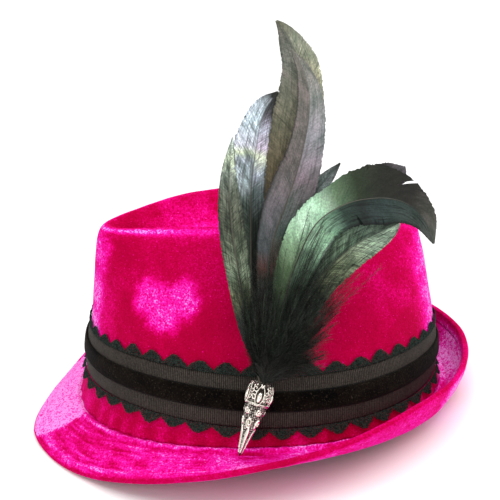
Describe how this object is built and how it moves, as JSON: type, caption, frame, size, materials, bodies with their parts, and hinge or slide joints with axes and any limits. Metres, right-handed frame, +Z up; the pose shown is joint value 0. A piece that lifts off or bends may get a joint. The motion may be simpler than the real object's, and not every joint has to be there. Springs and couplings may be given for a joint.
{
  "type": "tyrolean hat",
  "caption": "Velvet tyrolean hat with a teardrop-dented crown, a brim dipped in front and turned up behind, a lace-edged ribbon band and a cock-feather plume in a cast cone.",
  "frame": {"origin": "on the surface that the hat rests on, under the middle of its bounding box", "axes": "+Z up, -Y to the front of the hat, +X to the wearer's left, where the plume is"},
  "size_m": [0.237, 0.2512, 0.2285],
  "materials": {
    "pink_velvet": "crushed pile",
    "grosgrain": "ribbed, matt",
    "black_velvet": "pile",
    "lace": "matt thread",
    "cock_feather": "iridescent",
    "hackle": "soft barbs",
    "cast_silver": "antiqued cast relief"
  },
  "bodies": {
    "root": {"crown": "pink_velvet", "brim": "pink_velvet", "band_ribbon": "grosgrain", "band_velvet": "black_velvet", "lace_upper": "lace", "lace_lower": "lace", "feather_spike": "cock_feather", "feather_left": "cock_feather", "feather_tall_back": "cock_feather", "feather_dark": "cock_feather", "feather_tall_front": "cock_feather", "feather_low": "cock_feather", "feather_sickle": "cock_feather", "feather_split": "cock_feather", "hackle_tuft": "hackle", "cone": "cast_silver"}
  },
  "joints": []
}
